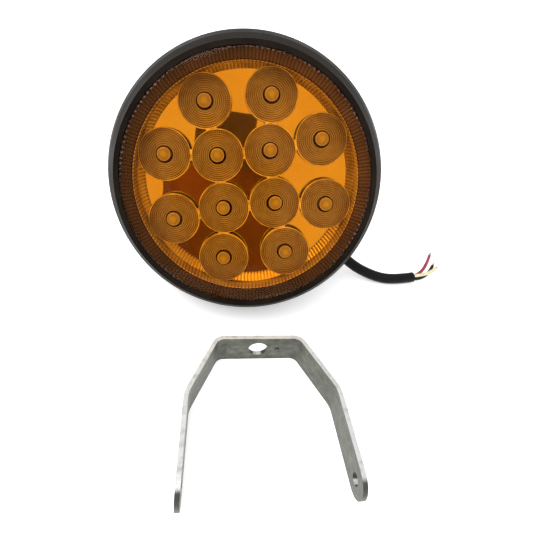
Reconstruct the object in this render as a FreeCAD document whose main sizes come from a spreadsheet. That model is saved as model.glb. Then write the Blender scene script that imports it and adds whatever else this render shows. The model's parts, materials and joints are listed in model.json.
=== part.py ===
import FreeCAD, Part
import math
import os
import re
import Sketcher

from FreeCAD import Placement, Rotation, Vector

# Amber LED lamp head, laid on a table beside its detached strap bracket.
# Frame: +Z up, the table at Z = 0, +Y away from a person who looks at the lamp's face, millimetres.
# The lamp's own frame has its origin at the middle of the lens face, its Z axis pointing
# backwards into the lamp (depth), its Y axis up the face, and its X axis to the lamp's own left.

SIZES = [
    # where the pieces lie
    ("lamp_y", 20.641),             # the lens centre's place along Y
    ("bracket_x", 12.6),           # middle of the bracket's top plate
    ("bracket_y", -23.549),
    ("bracket_turn", 6.2),         # how far the bracket is turned on the table, in degrees
    # lens and bezel
    ("lens_radius", 57.0),
    ("lens_thickness", 2.6),
    ("lens_fit", 0.1),             # radial gap round the lens and its gasket
    ("gasket_thickness", 0.6),
    ("ledge_width", 5.4),          # the ledge that carries the lens
    ("ledge_thickness", 2.2),
    ("bezel_lip", 2.4),            # width of the lip round the lens
    ("bezel_flare", 6.9),          # how much wider the bezel's rear is than its lip
    ("flare_depth", 17.0),
    ("bezel_depth", 21.0),
    ("bezel_bore", 61.0),          # radius inside the bezel, behind the ledge
    # light engine
    ("collimator_radius", 12.25),
    ("collimator_height", 12.0),
    ("collimator_flange", 1.2),
    ("collimator_step", 0.7),      # step in behind the flange, and again at the shoulder
    ("shoulder_inset", 1.75),      # how much smaller than the face the seat on the holder is
    ("shoulder_drop", 5.0),        # from the face to the seat on the holder
    ("collimator_foot", 4.4),
    ("well_radius", 3.9),
    ("well_depth", 4.5),
    ("pocket_radius", 2.6),        # hollow over the light source
    ("pocket_depth", 3.2),
    ("ring_radius", 39.9),         # outer circle of collimators
    ("inner_radius", 17.44),       # inner circle of collimators
    ("pattern_turn", 11.6),        # turn of the whole light engine, in degrees
    ("optics_depth", 12.0),        # face of the collimators behind the lens face
    ("holder_radius", 54.6),
    ("holder_plate", 1.5),
    ("holder_wall", 1.5),
    ("holder_hole_fit", 0.25),
    ("board_radius", 55.0),
    ("board_thickness", 1.6),
    ("led_size", 3.5),
    ("led_height", 0.7),
    ("dome_radius", 1.3),
    ("spreader_radius", 56.3),
    ("spreader_thickness", 4.0),
    ("spreader_fit", 0.3),
    # housing
    ("flange_thickness", 3.0),
    ("housing_depth", 40.0),
    ("housing_back_radius", 52.0),
    ("housing_wall", 3.0),
    ("shoulder_width", 4.8),
    ("screw_circle", 62.9),
    ("screw_radius", 1.5),
    ("screw_head_radius", 2.75),
    ("screw_head_height", 2.0),
    ("screw_socket", 1.1),
    ("screw_fit", 0.1),
    ("bezel_screw_bite", 6.0),
    # driver box
    ("box_width", 52.0),
    ("box_height", 87.4),
    ("box_depth", 17.0),
    ("box_wall", 2.5),
    ("box_corner", 6.0),
    ("cover_gasket_thickness", 1.0),
    ("cover_thickness", 3.0),
    ("fin_height", 5.0),
    ("fin_thickness", 2.0),
    ("fin_pitch", 7.6),
    ("cover_screw_x", 21.0),
    ("cover_screw_y", 37.0),
    ("cover_post", 3.4),
    ("box_screw_x", 6.0),
    ("box_screw_y", 36.0),
    # pivots on the box's sides
    ("pivot_setback", 10.0),       # behind the housing
    ("pivot_boss_radius", 6.8),
    ("pivot_boss_height", 7.5),
    ("insert_radius", 3.6),
    ("insert_bore", 2.6),
    ("pivot_bolt_radius", 2.5),
    ("pivot_bolt_bite", 9.0),
    ("bolt_head_radius", 4.3),
    ("bolt_head_height", 3.5),
    ("washer_radius", 5.0),
    ("washer_bore", 2.65),
    ("washer_thickness", 1.0),
    # driver electronics
    ("driver_width", 32.0),
    ("driver_height", 58.0),
    ("driver_rise", 8.0),          # the board's centre above the box's middle
    ("driver_thickness", 1.6),
    ("standoff_height", 3.5),
    ("standoff_radius", 2.6),
    ("standoff_inset", 4.0),
    ("wire_radius", 0.8),
    ("wire_gap", 4.5),
    ("wire_hole_radius", 1.4),
    # gland and lead
    ("gland_drop", 28.0),          # how far the lead leaves below the box's middle
    ("gland_setback", 10.0),       # behind the housing
    ("gland_thread_radius", 4.6),
    ("gland_thread_length", 5.5),
    ("gland_flange_radius", 6.2),
    ("gland_flange", 2.5),
    ("gland_nut_radius", 5.6),
    ("gland_nut_length", 8.5),
    ("lead_diameter", 6.0),
    ("core_diameter", 1.9),
    ("tip_diameter", 1.1),
    ("tip_length", 2.4),
    # bracket
    ("strap_width", 16.0),
    ("strap_thickness", 2.0),
    ("plate_width", 40.0),
    ("diagonal_length", 31.6),
    ("diagonal_angle", 64.0),
    ("leg_length", 44.1),
    ("leg_angle", 87.0),
    ("bend_radius", 4.2),
    ("knee_radius", 15.0),
    ("leg_hole_radius", 2.75),
    ("plate_hole_radius", 4.6),
    ("dimple_radius", 1.0),
    ("dimple_offset", 9.2),
    ("dimple_depth", 0.8),
]

doc = FreeCAD.newDocument("amber_lamp")
sheet = doc.addObject("Spreadsheet::Sheet", "sizes")
for row, (alias, value) in enumerate(SIZES, start=1):
    sheet.set(f"A{row}", alias)
    sheet.set(f"B{row}", str(value))
    sheet.setAlias(f"B{row}", alias)
doc.recompute()

ALIASES = {alias for alias, _ in SIZES}

# Depths behind the lens face that several pieces share.
LEDGE_FRONT = "(lens_thickness + gasket_thickness)"
LEDGE_BACK = f"({LEDGE_FRONT} + ledge_thickness)"
HOLDER_FRONT = "(optics_depth + shoulder_drop)"
SHOULDER = "(collimator_radius - shoulder_inset)"
HOLDER_BACK = f"({HOLDER_FRONT} + holder_plate)"
BOARD_FRONT = "(optics_depth + collimator_height)"
BOARD_BACK = f"({BOARD_FRONT} + board_thickness)"
SPREADER_BACK = f"({BOARD_BACK} + spreader_thickness)"
FLANGE_BACK = "(bezel_depth + flange_thickness)"
HOUSING_INSIDE = "(housing_depth - housing_wall)"
BOX_FLOOR = "(housing_depth + box_wall)"
BOX_BACK = "(housing_depth + box_depth)"
COVER_FRONT = f"({BOX_BACK} + cover_gasket_thickness)"
COVER_BACK = f"({COVER_FRONT} + cover_thickness)"
DRIVER_FRONT = f"({BOX_FLOOR} + standoff_height)"
DRIVER_BACK = f"({DRIVER_FRONT} + driver_thickness)"
LIP_RADIUS = "(lens_radius + bezel_lip)"
BEZEL_RADIUS = f"({LIP_RADIUS} + bezel_flare)"
HOUSING_BORE = "(spreader_radius + spreader_fit)"
FIN_BACK = f"({COVER_BACK} + fin_height)"
BOSS_FACE = "(box_width / 2 + pivot_boss_height)"
PIVOT_DEPTH = "(housing_depth + pivot_setback)"
GLAND_DEPTH = "(housing_depth + gland_setback)"

collected = []       # every finished sub-part, in order
cord_collected = []  # those of them that belong to the lead


def linked(formula):
    """A formula of aliases, as other objects have to write it."""
    return re.sub(r"[a-z][a-z_]+", lambda word: "sizes." + word.group(0)
                  if word.group(0) in ALIASES else word.group(0), formula)


def size(formula):
    """The value of a formula of aliases."""
    return float(sheet.evalExpression(formula))


def bind(thing, **formulas):
    """Ties properties of an object to the sheet."""
    for name, formula in formulas.items():
        thing.setExpression(name, linked(str(formula)))


def lean_angle():
    """How far the face tips back when the housing's flange and the fins both rest on the table."""
    return math.atan2(size(f"{BEZEL_RADIUS} - box_height / 2"), size(f"{FIN_BACK} - {FLANGE_BACK}"))


def lamp_placement(x=0.0, y=0.0, depth=0.0, turn=0.0):
    """A place in the lamp's frame: x and y on the face, depth behind it, turned about its axis."""
    lean = lean_angle()
    backward = Vector(0, math.cos(lean), -math.sin(lean))
    upward = Vector(0, math.sin(lean), math.cos(lean))
    frame = Rotation(Vector(-1, 0, 0), upward, backward, "XYZ")
    height = size(BEZEL_RADIUS) * math.cos(lean) + size(FLANGE_BACK) * math.sin(lean)
    face = Placement(Vector(0, size("lamp_y"), height), frame)
    return face * Placement(Vector(x, y, depth), Rotation(Vector(0, 0, 1), turn))


def finish(thing, label, placement, on_cord=False):
    """Names a finished sub-part and places it, with its own place inside the frame it was made in."""
    thing.Label = label
    thing.Placement = placement * thing.Placement
    collected.append(thing)
    if on_cord:
        cord_collected.append(thing)
    return thing


# Building blocks

def attach(sketch, body, role):
    """Puts a sketch on one of its own body's origin planes."""
    plane = next(item for item in body.Origin.OriginFeatures if item.Role == role)
    sketch.AttachmentSupport = (plane, "")
    sketch.MapMode = "FlatFace"


def draw_outline(sketch, corners):
    """Draws a closed outline through (across, along) pairs of formulas, each tied to the sheet."""
    points = [Vector(size(across), size(along), 0) for across, along in corners]
    count = len(points)
    for index in range(count):
        sketch.addGeometry(Part.LineSegment(points[index], points[(index + 1) % count]), False)
    for index in range(count):
        sketch.addConstraint(Sketcher.Constraint("Coincident", index, 2, (index + 1) % count, 1))
    for index, (across, along) in enumerate(corners):
        for kind, formula, axis in (("DistanceX", across, -2), ("DistanceY", along, -1)):
            if size(formula) == 0.0:
                sketch.addConstraint(Sketcher.Constraint("PointOnObject", index, 1, axis))
            else:
                number = sketch.addConstraint(
                    Sketcher.Constraint(kind, -1, 1, index, 1, size(formula)))
                sketch.setExpression(f"Constraints[{number}]", linked(formula))


def turned(name, corners):
    """A body turned about its Z axis, from (radius, depth) corners."""
    body = doc.addObject("PartDesign::Body", name)
    sketch = body.newObject("Sketcher::SketchObject", name + "_profile")
    attach(sketch, body, "XZ_Plane")
    draw_outline(sketch, corners)
    feature = body.newObject("PartDesign::Revolution", name + "_turn")
    feature.Profile = sketch
    feature.ReferenceAxis = (sketch, ["V_Axis"])
    feature.Angle = 360
    doc.recompute()
    return body


def disc(name, radius, front, thickness):
    """A plain disc or rod along the depth."""
    return rod(name, radius, thickness, depth=front)


def rod(name, radius, length, x="0", y="0", depth="0", along=Vector(0, 0, 1)):
    """A cylinder that starts at a point and runs along a direction."""
    cylinder = doc.addObject("Part::Cylinder", name)
    bind(cylinder, Radius=radius, Height=length)
    place = Vector(size(x), size(y), size(depth))
    cylinder.Placement = Placement(place, Rotation(Vector(0, 0, 1), along))
    return cylinder


def block(name, width, height, thickness, x="0", y="0", depth="0"):
    """A box centred on x and y that starts at a depth."""
    box = doc.addObject("Part::Box", name)
    bind(box, Length=width, Width=height, Height=thickness)
    low = Vector(size(f"({x}) - ({width}) / 2"), size(f"({y}) - ({height}) / 2"), size(depth))
    box.Placement = Placement(low, Rotation())
    return box


def joined(name, things):
    """Several touching shapes made one."""
    fuse = doc.addObject("Part::MultiFuse", name)
    fuse.Shapes = things
    return fuse


def grouped(name, things):
    """Several separate solids in one sub-part."""
    compound = doc.addObject("Part::Compound", name)
    compound.Links = things
    return compound


def cut(name, base, tools):
    """A shape with others taken out of it."""
    cutter = tools[0] if len(tools) == 1 else grouped(name + "_tools", tools)
    result = doc.addObject("Part::Cut", name)
    result.Base = base
    result.Tool = cutter
    return result


def upright_edges(shape):
    """Names of the straight edges that run along Z."""
    names = []
    for number, edge in enumerate(shape.Edges, start=1):
        start, end = edge.Vertexes[0].Point, edge.Vertexes[-1].Point
        if abs(start.x - end.x) < 1e-6 and abs(start.y - end.y) < 1e-6 and abs(start.z - end.z) > 1e-3:
            names.append(number)
    return names


def rounded_block(name, width, height, thickness, radius, depth):
    """A box whose four edges along the depth are rounded."""
    blank = block(name + "_blank", width, height, thickness, depth=depth)
    doc.recompute()
    fillet = doc.addObject("Part::Fillet", name)
    fillet.Base = blank
    corner = size(radius)
    fillet.Edges = [(number, corner, corner) for number in upright_edges(blank.Shape)]
    return fillet


def screw(name, x, y, head_front, bite, into=1):
    """A socket head screw along the depth; into is -1 when it points at the lens, 1 when away."""
    head_start = f"{head_front}" if into == -1 else f"({head_front}) - screw_head_height"
    shank_start = f"({head_front}) - ({bite})" if into == -1 else head_front
    socket_start = f"({head_front}) + screw_head_height / 2" if into == -1 else head_start
    head = rod(name + "_head", "screw_head_radius", "screw_head_height", x, y, head_start)
    shank = rod(name + "_shank", "screw_radius", bite, x, y, shank_start)
    socket = rod(name + "_socket", "screw_socket", "screw_head_height / 2", x, y, socket_start)
    return cut(name, joined(name + "_solid", [head, shank]), [socket])


def circle_places(count, radius, start_angle):
    """Formulas for evenly spaced points on a circle."""
    places = []
    for index in range(count):
        angle = start_angle + 360.0 * index / count
        places.append((f"{radius} * cos({angle} * 1 deg)", f"{radius} * sin({angle} * 1 deg)"))
    return places


def corner_places(x, y):
    """The four corners of a rectangle."""
    return [(f"{sx} * {x}", f"{sy} * {y}") for sx in (-1, 1) for sy in (-1, 1)]


# Lens, bezel and light engine

BEZEL_SCREWS = 6
BEZEL_SCREW_START = 0.0


def optic_places():
    """Centres of the twelve collimators: eight on the outer circle, four on the inner one."""
    turn = -size("pattern_turn")
    return circle_places(8, "ring_radius", 22.5 + turn) + circle_places(4, "inner_radius", 45.0 + turn)


def make_front_lens():
    lens = disc("front_lens", "lens_radius", "0", "lens_thickness")
    finish(lens, "front_lens", lamp_placement())
    ring_inner = "lens_radius - ledge_width"
    gasket = turned("lens_gasket", [
        (f"{ring_inner} + 0.4", "lens_thickness"),
        ("lens_radius", "lens_thickness"),
        ("lens_radius", LEDGE_FRONT),
        (f"{ring_inner} + 0.4", LEDGE_FRONT),
    ])
    finish(gasket, "lens_gasket", lamp_placement())


def make_bezel_ring():
    body = turned("bezel_blank", [
        ("lens_radius + lens_fit", "0"),
        (LIP_RADIUS, "0"),
        (f"{LIP_RADIUS} + bezel_flare * 0.55", "flare_depth * 0.45"),
        (BEZEL_RADIUS, "flare_depth"),
        (BEZEL_RADIUS, "bezel_depth"),
        ("bezel_bore", "bezel_depth"),
        ("bezel_bore", f"{LEDGE_BACK} + 3.5"),
        ("lens_radius", LEDGE_BACK),
        ("lens_radius - ledge_width", LEDGE_BACK),
        ("lens_radius - ledge_width", LEDGE_FRONT),
        ("lens_radius + lens_fit", LEDGE_FRONT),
    ])
    holes = []
    for number, (x, y) in enumerate(circle_places(BEZEL_SCREWS, "screw_circle", BEZEL_SCREW_START)):
        holes.append(rod(f"bezel_hole_{number}", "screw_radius + screw_fit", "bezel_screw_bite + 2", x, y,
                         "bezel_depth - bezel_screw_bite - 1"))
    finish(cut("bezel_ring", body, holes), "bezel_ring", lamp_placement())


def make_fluted_ring():
    body = turned("fluted_ring", [
        ("lens_radius - ledge_width + 0.2", LEDGE_BACK),
        ("holder_radius", LEDGE_BACK),
        ("holder_radius", HOLDER_FRONT),
        ("holder_radius - holder_wall", HOLDER_FRONT),
    ])
    finish(body, "fluted_ring", lamp_placement())


def make_optics_holder():
    body = turned("holder_blank", [
        ("0", HOLDER_FRONT),
        ("holder_radius", HOLDER_FRONT),
        ("holder_radius", BOARD_FRONT),
        ("holder_radius - holder_wall", BOARD_FRONT),
        ("holder_radius - holder_wall", HOLDER_BACK),
        ("0", HOLDER_BACK),
    ])
    neck = f"{SHOULDER} - collimator_step + holder_hole_fit"
    holes = [rod(f"holder_hole_{number}", neck, "holder_plate + 2", x, y, f"{HOLDER_FRONT} - 1")
             for number, (x, y) in enumerate(optic_places())]
    finish(cut("optics_holder", body, holes), "optics_holder", lamp_placement())


def make_collimators_and_leds():
    base = "collimator_height"
    for number, (x, y) in enumerate(optic_places(), start=1):
        collimator = turned(f"collimator_{number:02d}", [
            ("0", "well_depth"),
            ("well_radius", "well_depth"),
            ("well_radius", "0"),
            ("collimator_radius", "0"),
            ("collimator_radius", "collimator_flange"),
            ("collimator_radius - collimator_step", "collimator_flange"),
            (SHOULDER, "shoulder_drop"),
            (f"{SHOULDER} - collimator_step", "shoulder_drop"),
            ("collimator_radius * 0.66", f"{base} * 0.72"),
            ("collimator_foot", base),
            ("pocket_radius", base),
            ("pocket_radius", f"{base} - pocket_depth"),
            ("0", f"{base} - pocket_depth"),
        ])
        place = lamp_placement(size(x), size(y), size("optics_depth"))
        finish(collimator, f"collimator_{number:02d}", place)
        package = block(f"led_package_{number}", "led_size", "led_size", "led_height",
                        depth=f"{BOARD_FRONT} - led_height")
        dome = doc.addObject("Part::Sphere", f"led_dome_{number}")
        bind(dome, Radius="dome_radius")
        dome.Placement = Placement(Vector(0, 0, size(f"{BOARD_FRONT} - led_height")), Rotation())
        back_half = block(f"led_trim_{number}", "3 * dome_radius", "3 * dome_radius", "2 * dome_radius",
                          depth=f"{BOARD_FRONT} - led_height / 2")
        front_half = cut(f"led_half_{number}", dome, [back_half])
        led = joined(f"led_{number:02d}", [package, front_half])
        finish(led, f"led_{number:02d}", lamp_placement(size(x), size(y), 0, size("-pattern_turn")))


def wire_places():
    return [("-wire_gap / 2", "0"), ("wire_gap / 2", "0")]


def make_led_board_and_spreader():
    board = disc("led_board", "board_radius", BOARD_FRONT, "board_thickness")
    finish(board, "led_board", lamp_placement())
    spreader = disc("spreader_blank", "spreader_radius", BOARD_BACK, "spreader_thickness")
    holes = [rod(f"spreader_hole_{number}", "wire_hole_radius", "spreader_thickness + 2", x, y,
                 f"{BOARD_BACK} - 1") for number, (x, y) in enumerate(wire_places())]
    finish(cut("heat_spreader", spreader, holes), "heat_spreader", lamp_placement())
    wires = [rod(f"led_wire_{number}", "wire_radius", f"{DRIVER_FRONT} - {BOARD_BACK}", x, y, BOARD_BACK)
             for number, (x, y) in enumerate(wire_places())]
    finish(grouped("led_wires", wires), "led_wires", lamp_placement())


# Housing and driver box

def make_housing():
    body = turned("housing_blank", [
        (BEZEL_RADIUS, "bezel_depth"),
        (BEZEL_RADIUS, FLANGE_BACK),
        (f"{HOUSING_BORE} + housing_wall", FLANGE_BACK),
        (f"{HOUSING_BORE} + housing_wall", f"{SPREADER_BACK} + 1.5"),
        ("housing_back_radius", "housing_depth"),
        ("0", "housing_depth"),
        ("0", HOUSING_INSIDE),
        ("housing_back_radius - housing_wall", HOUSING_INSIDE),
        (f"{HOUSING_BORE} - shoulder_width", f"{SPREADER_BACK} + 1"),
        (f"{HOUSING_BORE} - shoulder_width", SPREADER_BACK),
        (HOUSING_BORE, SPREADER_BACK),
        (HOUSING_BORE, "bezel_depth"),
    ])
    holes = []
    for number, (x, y) in enumerate(circle_places(BEZEL_SCREWS, "screw_circle", BEZEL_SCREW_START)):
        holes.append(rod(f"flange_hole_{number}", "screw_radius + screw_fit", "flange_thickness + 2", x, y,
                         "bezel_depth - 1"))
        holes.append(rod(f"flange_seat_{number}", "screw_head_radius + 0.5", "housing_depth", x, y,
                         FLANGE_BACK))
    for number, (x, y) in enumerate(corner_places("box_screw_x", "box_screw_y")):
        holes.append(rod(f"back_hole_{number}", "screw_radius + screw_fit", "housing_wall + 2", x, y,
                         f"{HOUSING_INSIDE} - 1"))
    for number, (x, y) in enumerate(wire_places()):
        holes.append(rod(f"housing_wire_hole_{number}", "wire_hole_radius", "housing_wall + 2", x, y,
                         f"{HOUSING_INSIDE} - 1"))
    finish(cut("housing", body, holes), "housing", lamp_placement())
    screws = [screw(f"housing_screw_{number}", x, y, FLANGE_BACK, "flange_thickness + bezel_screw_bite", -1)
              for number, (x, y) in enumerate(circle_places(BEZEL_SCREWS, "screw_circle",
                                                            BEZEL_SCREW_START))]
    finish(grouped("housing_screws", screws), "housing_screws", lamp_placement())


def make_driver_box():
    outside = rounded_block("box_outside", "box_width", "box_height", "box_depth", "box_corner",
                            "housing_depth")
    inside = rounded_block("box_inside", "box_width - 2 * box_wall", "box_height - 2 * box_wall",
                           "box_depth", "box_corner - box_wall", BOX_FLOOR)
    tray = cut("box_tray", outside, [inside])
    posts = [rod(f"cover_post_{number}", "cover_post", "box_depth - box_wall", x, y, BOX_FLOOR)
             for number, (x, y) in enumerate(corner_places("cover_screw_x", "cover_screw_y"))]
    standoffs = [rod(f"standoff_{number}", "standoff_radius", "standoff_height", x, y, BOX_FLOOR)
                 for number, (x, y) in enumerate(driver_screw_places())]
    bosses = []
    for side in (-1, 1):
        bosses.append(rod(f"boss_{'left' if side > 0 else 'right'}", "pivot_boss_radius",
                          "pivot_boss_height + box_wall", f"{side} * (box_width / 2 - box_wall)", "0",
                          PIVOT_DEPTH, Vector(side, 0, 0)))
    solid = joined("box_solid", [tray] + posts + standoffs + bosses)
    holes = []
    for side in (-1, 1):
        holes.append(rod(f"insert_bore_{'left' if side > 0 else 'right'}", "insert_radius",
                         "pivot_boss_height + box_wall + 2", f"{side} * (box_width / 2 - box_wall - 1)", "0",
                         PIVOT_DEPTH, Vector(side, 0, 0)))
    holes.append(rod("gland_hole", "gland_thread_radius", "box_wall + 2", "-box_width / 2 - 1",
                     "-gland_drop", GLAND_DEPTH, Vector(1, 0, 0)))
    for number, (x, y) in enumerate(corner_places("cover_screw_x", "cover_screw_y")):
        holes.append(rod(f"post_hole_{number}", "screw_radius + screw_fit", "box_depth - box_wall - 1", x, y,
                         f"{BOX_FLOOR} + 2"))
    for number, (x, y) in enumerate(corner_places("box_screw_x", "box_screw_y")):
        holes.append(rod(f"floor_hole_{number}", "screw_radius + screw_fit", "box_wall + 2", x, y,
                         "housing_depth - 1"))
    for number, (x, y) in enumerate(driver_screw_places()):
        holes.append(rod(f"standoff_hole_{number}", "screw_radius + screw_fit", "standoff_height + 1", x, y,
                         f"{BOX_FLOOR} - 0.5"))
    for number, (x, y) in enumerate(wire_places()):
        holes.append(rod(f"box_wire_hole_{number}", "wire_hole_radius", "box_wall + 2", x, y,
                         "housing_depth - 1"))
    finish(cut("driver_box", solid, holes), "driver_box", lamp_placement())
    screws = [screw(f"box_screw_{number}", x, y, BOX_FLOOR, "box_wall + housing_wall", -1)
              for number, (x, y) in enumerate(corner_places("box_screw_x", "box_screw_y"))]
    finish(grouped("box_screws", screws), "box_screws", lamp_placement())


def make_rear_cover():
    gasket_outside = rounded_block("gasket_outside", "box_width", "box_height", "cover_gasket_thickness",
                                   "box_corner", BOX_BACK)
    window = rounded_block("gasket_window", "box_width - 2 * box_wall", "box_height - 2 * box_wall",
                           "cover_gasket_thickness + 2", "box_corner - box_wall", f"{BOX_BACK} - 1")
    frame = cut("gasket_frame", gasket_outside, [window])
    pads = [rod(f"gasket_pad_{number}", "cover_post", "cover_gasket_thickness", x, y, BOX_BACK)
            for number, (x, y) in enumerate(corner_places("cover_screw_x", "cover_screw_y"))]
    places = corner_places("cover_screw_x", "cover_screw_y")
    gasket_holes = [rod(f"gasket_hole_{number}", "screw_radius + screw_fit", "cover_gasket_thickness + 2",
                        x, y, f"{BOX_BACK} - 1") for number, (x, y) in enumerate(places)]
    gasket = cut("cover_gasket", joined("gasket_solid", [frame] + pads), gasket_holes)
    finish(gasket, "cover_gasket", lamp_placement())

    plate = rounded_block("cover_plate", "box_width", "box_height", "cover_thickness", "box_corner",
                          COVER_FRONT)
    fins = [block(f"fin_{number}", "fin_thickness", "box_height", "fin_height + 1", f"{number} * fin_pitch",
                  "0", f"{COVER_BACK} - 1") for number in range(-2, 3)]
    holes = [rod(f"cover_hole_{number}", "screw_radius + screw_fit", "cover_thickness + 2", x, y,
                 f"{COVER_FRONT} - 1") for number, (x, y) in enumerate(places)]
    cover = cut("rear_cover", joined("cover_solid", [plate] + fins), holes)
    finish(cover, "rear_cover", lamp_placement())
    screws = [screw(f"cover_screw_{number}", x, y, COVER_BACK,
                    "cover_thickness + cover_gasket_thickness + 8", -1)
              for number, (x, y) in enumerate(places)]
    finish(grouped("cover_screws", screws), "cover_screws", lamp_placement())


def driver_screw_places():
    """Corners of the driver board where it is screwed down."""
    across = "(driver_width / 2 - standoff_inset)"
    along = "(driver_height / 2 - standoff_inset)"
    return [(f"{sx} * {across}", f"driver_rise + {sy} * {along}") for sx in (-1, 1) for sy in (-1, 1)]


def make_driver_electronics():
    plate = block("driver_plate", "driver_width", "driver_height", "driver_thickness", "0", "driver_rise",
                  DRIVER_FRONT)
    holes = [rod(f"driver_hole_{number}", "screw_radius + screw_fit", "driver_thickness + 2", x, y,
                 f"{DRIVER_FRONT} - 1") for number, (x, y) in enumerate(driver_screw_places())]
    finish(cut("driver_board", plate, holes), "driver_board", lamp_placement())
    screws = [screw(f"board_screw_{number}", x, y, DRIVER_BACK, "driver_thickness + standoff_height - 0.5",
                    -1) for number, (x, y) in enumerate(driver_screw_places())]
    finish(grouped("board_screws", screws), "board_screws", lamp_placement())

    headroom = f"({COVER_FRONT} - {DRIVER_BACK} - 1)"
    capacitor = rod("filter_capacitor", "3", headroom, "-6", "driver_rise + 12", DRIVER_BACK)
    finish(capacitor, "filter_capacitor", lamp_placement())
    core = rod("inductor_core", "5.5", f"{headroom} - 1", "4.5", "driver_rise - 2", DRIVER_BACK)
    core_hole = rod("inductor_hole", "2.2", f"{headroom} + 1", "4.5", "driver_rise - 2",
                    f"{DRIVER_BACK} - 1")
    finish(cut("inductor", core, [core_hole]), "inductor", lamp_placement())
    chip = block("controller_chip", "5", "4", "1.6", "-6", "driver_rise - 4", DRIVER_BACK)
    finish(chip, "controller_chip", lamp_placement())
    terminal = block("terminal_block", "15", "7", f"{headroom} - 0.5", "0",
                     "driver_rise - driver_height / 2 + 12", DRIVER_BACK)
    finish(terminal, "terminal_block", lamp_placement())


# Pivots

def make_pivots():
    inserts = {}
    bolts = []
    washers = []
    for side, name in ((1, "left"), (-1, "right")):
        outward = Vector(side, 0, 0)
        start = f"{side} * (box_width / 2 - box_wall)"
        sleeve = rod(f"sleeve_{name}", "insert_radius", "pivot_boss_height + box_wall", start, "0",
                     PIVOT_DEPTH, outward)
        bore = rod(f"sleeve_bore_{name}", "insert_bore", "pivot_boss_height + box_wall + 2",
                   f"{side} * (box_width / 2 - box_wall - 1)", "0", PIVOT_DEPTH, outward)
        inserts[name] = cut(f"pivot_insert_{name}", sleeve, [bore])
        finish(inserts[name], f"pivot_insert_{name}", lamp_placement())
        washer_disc = rod(f"washer_disc_{name}", "washer_radius", "washer_thickness",
                          f"{side} * {BOSS_FACE}", "0", PIVOT_DEPTH, outward)
        washer_hole = rod(f"washer_hole_{name}", "washer_bore", "washer_thickness + 2",
                          f"{side} * ({BOSS_FACE} - 1)", "0", PIVOT_DEPTH, outward)
        washers.append(cut(f"washer_{name}", washer_disc, [washer_hole]))
        shank = rod(f"bolt_shank_{name}", "pivot_bolt_radius", "pivot_bolt_bite + washer_thickness",
                    f"{side} * ({BOSS_FACE} - pivot_bolt_bite)", "0", PIVOT_DEPTH, outward)
        head = doc.addObject("Part::Prism", f"bolt_head_{name}")
        head.Polygon = 6
        bind(head, Circumradius="bolt_head_radius", Height="bolt_head_height")
        head_x = size(f"{side} * ({BOSS_FACE} + washer_thickness)")
        head.Placement = Placement(Vector(head_x, 0, size(PIVOT_DEPTH)),
                                   Rotation(Vector(0, 0, 1), outward))
        bolts.append(joined(f"bolt_{name}", [shank, head]))
    finish(grouped("pivot_bolts", bolts), "pivot_bolts", lamp_placement())
    finish(grouped("pivot_washers", washers), "pivot_washers", lamp_placement())


# Gland, lead and its cores

# The route of the lead from the gland to its cut end, then of each core to its bare tip,
# as points (x, y, z) in the frame of the whole part.
LEAD_ROUTE = [
    (37.0, 51.4, 21.4),
    (45.2, 50.4, 19.4),
    (55.1, 47.3, 14.8),
    (65.5, 40.7, 7.1),
    (81.3, 36.1, 3.1),
    (93.0, 35.6, 3.1),
    (104.3, 39.1, 3.1),
]
CORE_ROUTES = {
    "core_red": [(103.9, 40.3, 2.9), (107.6, 41.4, 3.0), (111.6, 44.7, 4.2), (115.2, 50.4, 5.6),
                 (118.2, 56.8, 6.1)],
    "core_white": [(104.4, 38.8, 4.3), (108.6, 40.1, 4.2), (113.6, 42.4, 3.6), (118.0, 45.7, 3.0),
                   (121.4, 49.2, 2.6)],
    "core_black": [(104.5, 38.5, 2.0), (108.9, 39.9, 1.6), (113.6, 42.8, 1.3), (117.6, 47.2, 1.4),
                   (120.6, 52.2, 1.8)],
}


def arc_path(points, label):
    """Straight runs joined by tangent arcs, each as large as its two runs allow."""
    points = [Vector(*point) for point in points]
    edges = []
    start = points[0]
    radii = []
    for before, corner, after in zip(points, points[1:], points[2:]):
        back = (before - corner).normalize()
        forth = (after - corner).normalize()
        trim = 0.45 * min(before.distanceToPoint(corner), corner.distanceToPoint(after))
        half_turn = (math.pi - back.getAngle(forth)) / 2
        radii.append(trim / math.tan(half_turn))
        first = corner + back * trim
        last = corner + forth * trim
        middle_reach = trim / math.sin(math.pi / 2 - half_turn) * (1 - math.sin(math.pi / 2 - half_turn)) \
            / math.tan(half_turn) if half_turn > 1e-6 else 0.0
        toward = (back + forth).normalize()
        middle = corner + toward * middle_reach
        edges.append(Part.LineSegment(start, first).toShape())
        edges.append(Part.Arc(first, middle, last).toShape())
        start = last
    edges.append(Part.LineSegment(start, points[-1]).toShape())
    print(label, "bend radii", [round(radius, 1) for radius in radii])
    return Part.Wire(edges)


def tube(route, diameter, label):
    """A round tube along a route, with its volume compared with its section times its length."""
    path = arc_path(route, label)
    start = Vector(*route[0])
    direction = Vector(*route[1]) - start
    section = Part.Wire(Part.Circle(start, direction, diameter / 2).toShape())
    shape = path.makePipeShell([section], True, False)
    expected = math.pi * diameter ** 2 / 4 * path.Length
    if abs(shape.Volume - expected) > 0.02 * expected:
        raise ValueError(f"{label}: volume {shape.Volume:.0f}, expected {expected:.0f}")
    print(label, "length", round(path.Length, 1))
    return shape


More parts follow.
